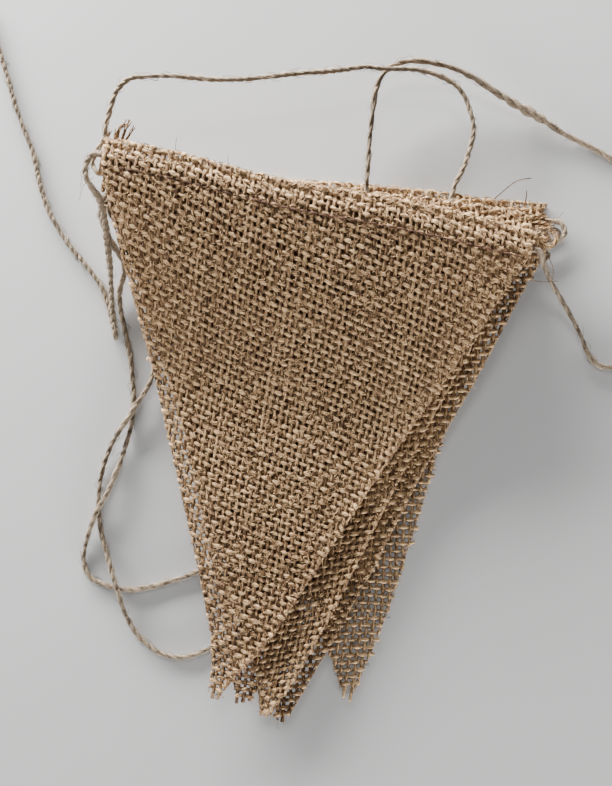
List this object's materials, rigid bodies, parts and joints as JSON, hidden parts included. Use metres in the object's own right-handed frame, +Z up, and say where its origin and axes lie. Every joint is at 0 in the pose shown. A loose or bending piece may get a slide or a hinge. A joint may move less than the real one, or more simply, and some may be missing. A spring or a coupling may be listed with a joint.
{
  "type": "hessian bunting",
  "caption": "Pile of triangular woven jute pennants with turned top hems, threaded on one jute twine that loops loosely round the pile.",
  "frame": {"origin": "on the surface the pile lies on, under the middle of the pennants' footprint", "axes": "+Z up from the surface, +Y from the points towards the hems, +X to the right along the hems"},
  "size_m": [0.2521, 0.2629, 0.0241],
  "materials": {
    "hessian": "coarse plain weave, matt",
    "jute_twine": "two-ply twisted, hairy, matt"
  },
  "bodies": {
    "root": {"pennant_5": "hessian", "pennant_4": "hessian", "pennant_3": "hessian", "pennant_2": "hessian", "pennant_1": "hessian", "hem_run_5": "jute_twine", "hem_run_4": "jute_twine", "hem_run_3": "jute_twine", "hem_run_2": "jute_twine", "hem_run_1": "jute_twine", "twine_tail": "jute_twine", "twine_right_loop": "jute_twine", "twine_arch": "jute_twine", "twine_left_loops": "jute_twine", "twine_link": "jute_twine"}
  },
  "joints": []
}
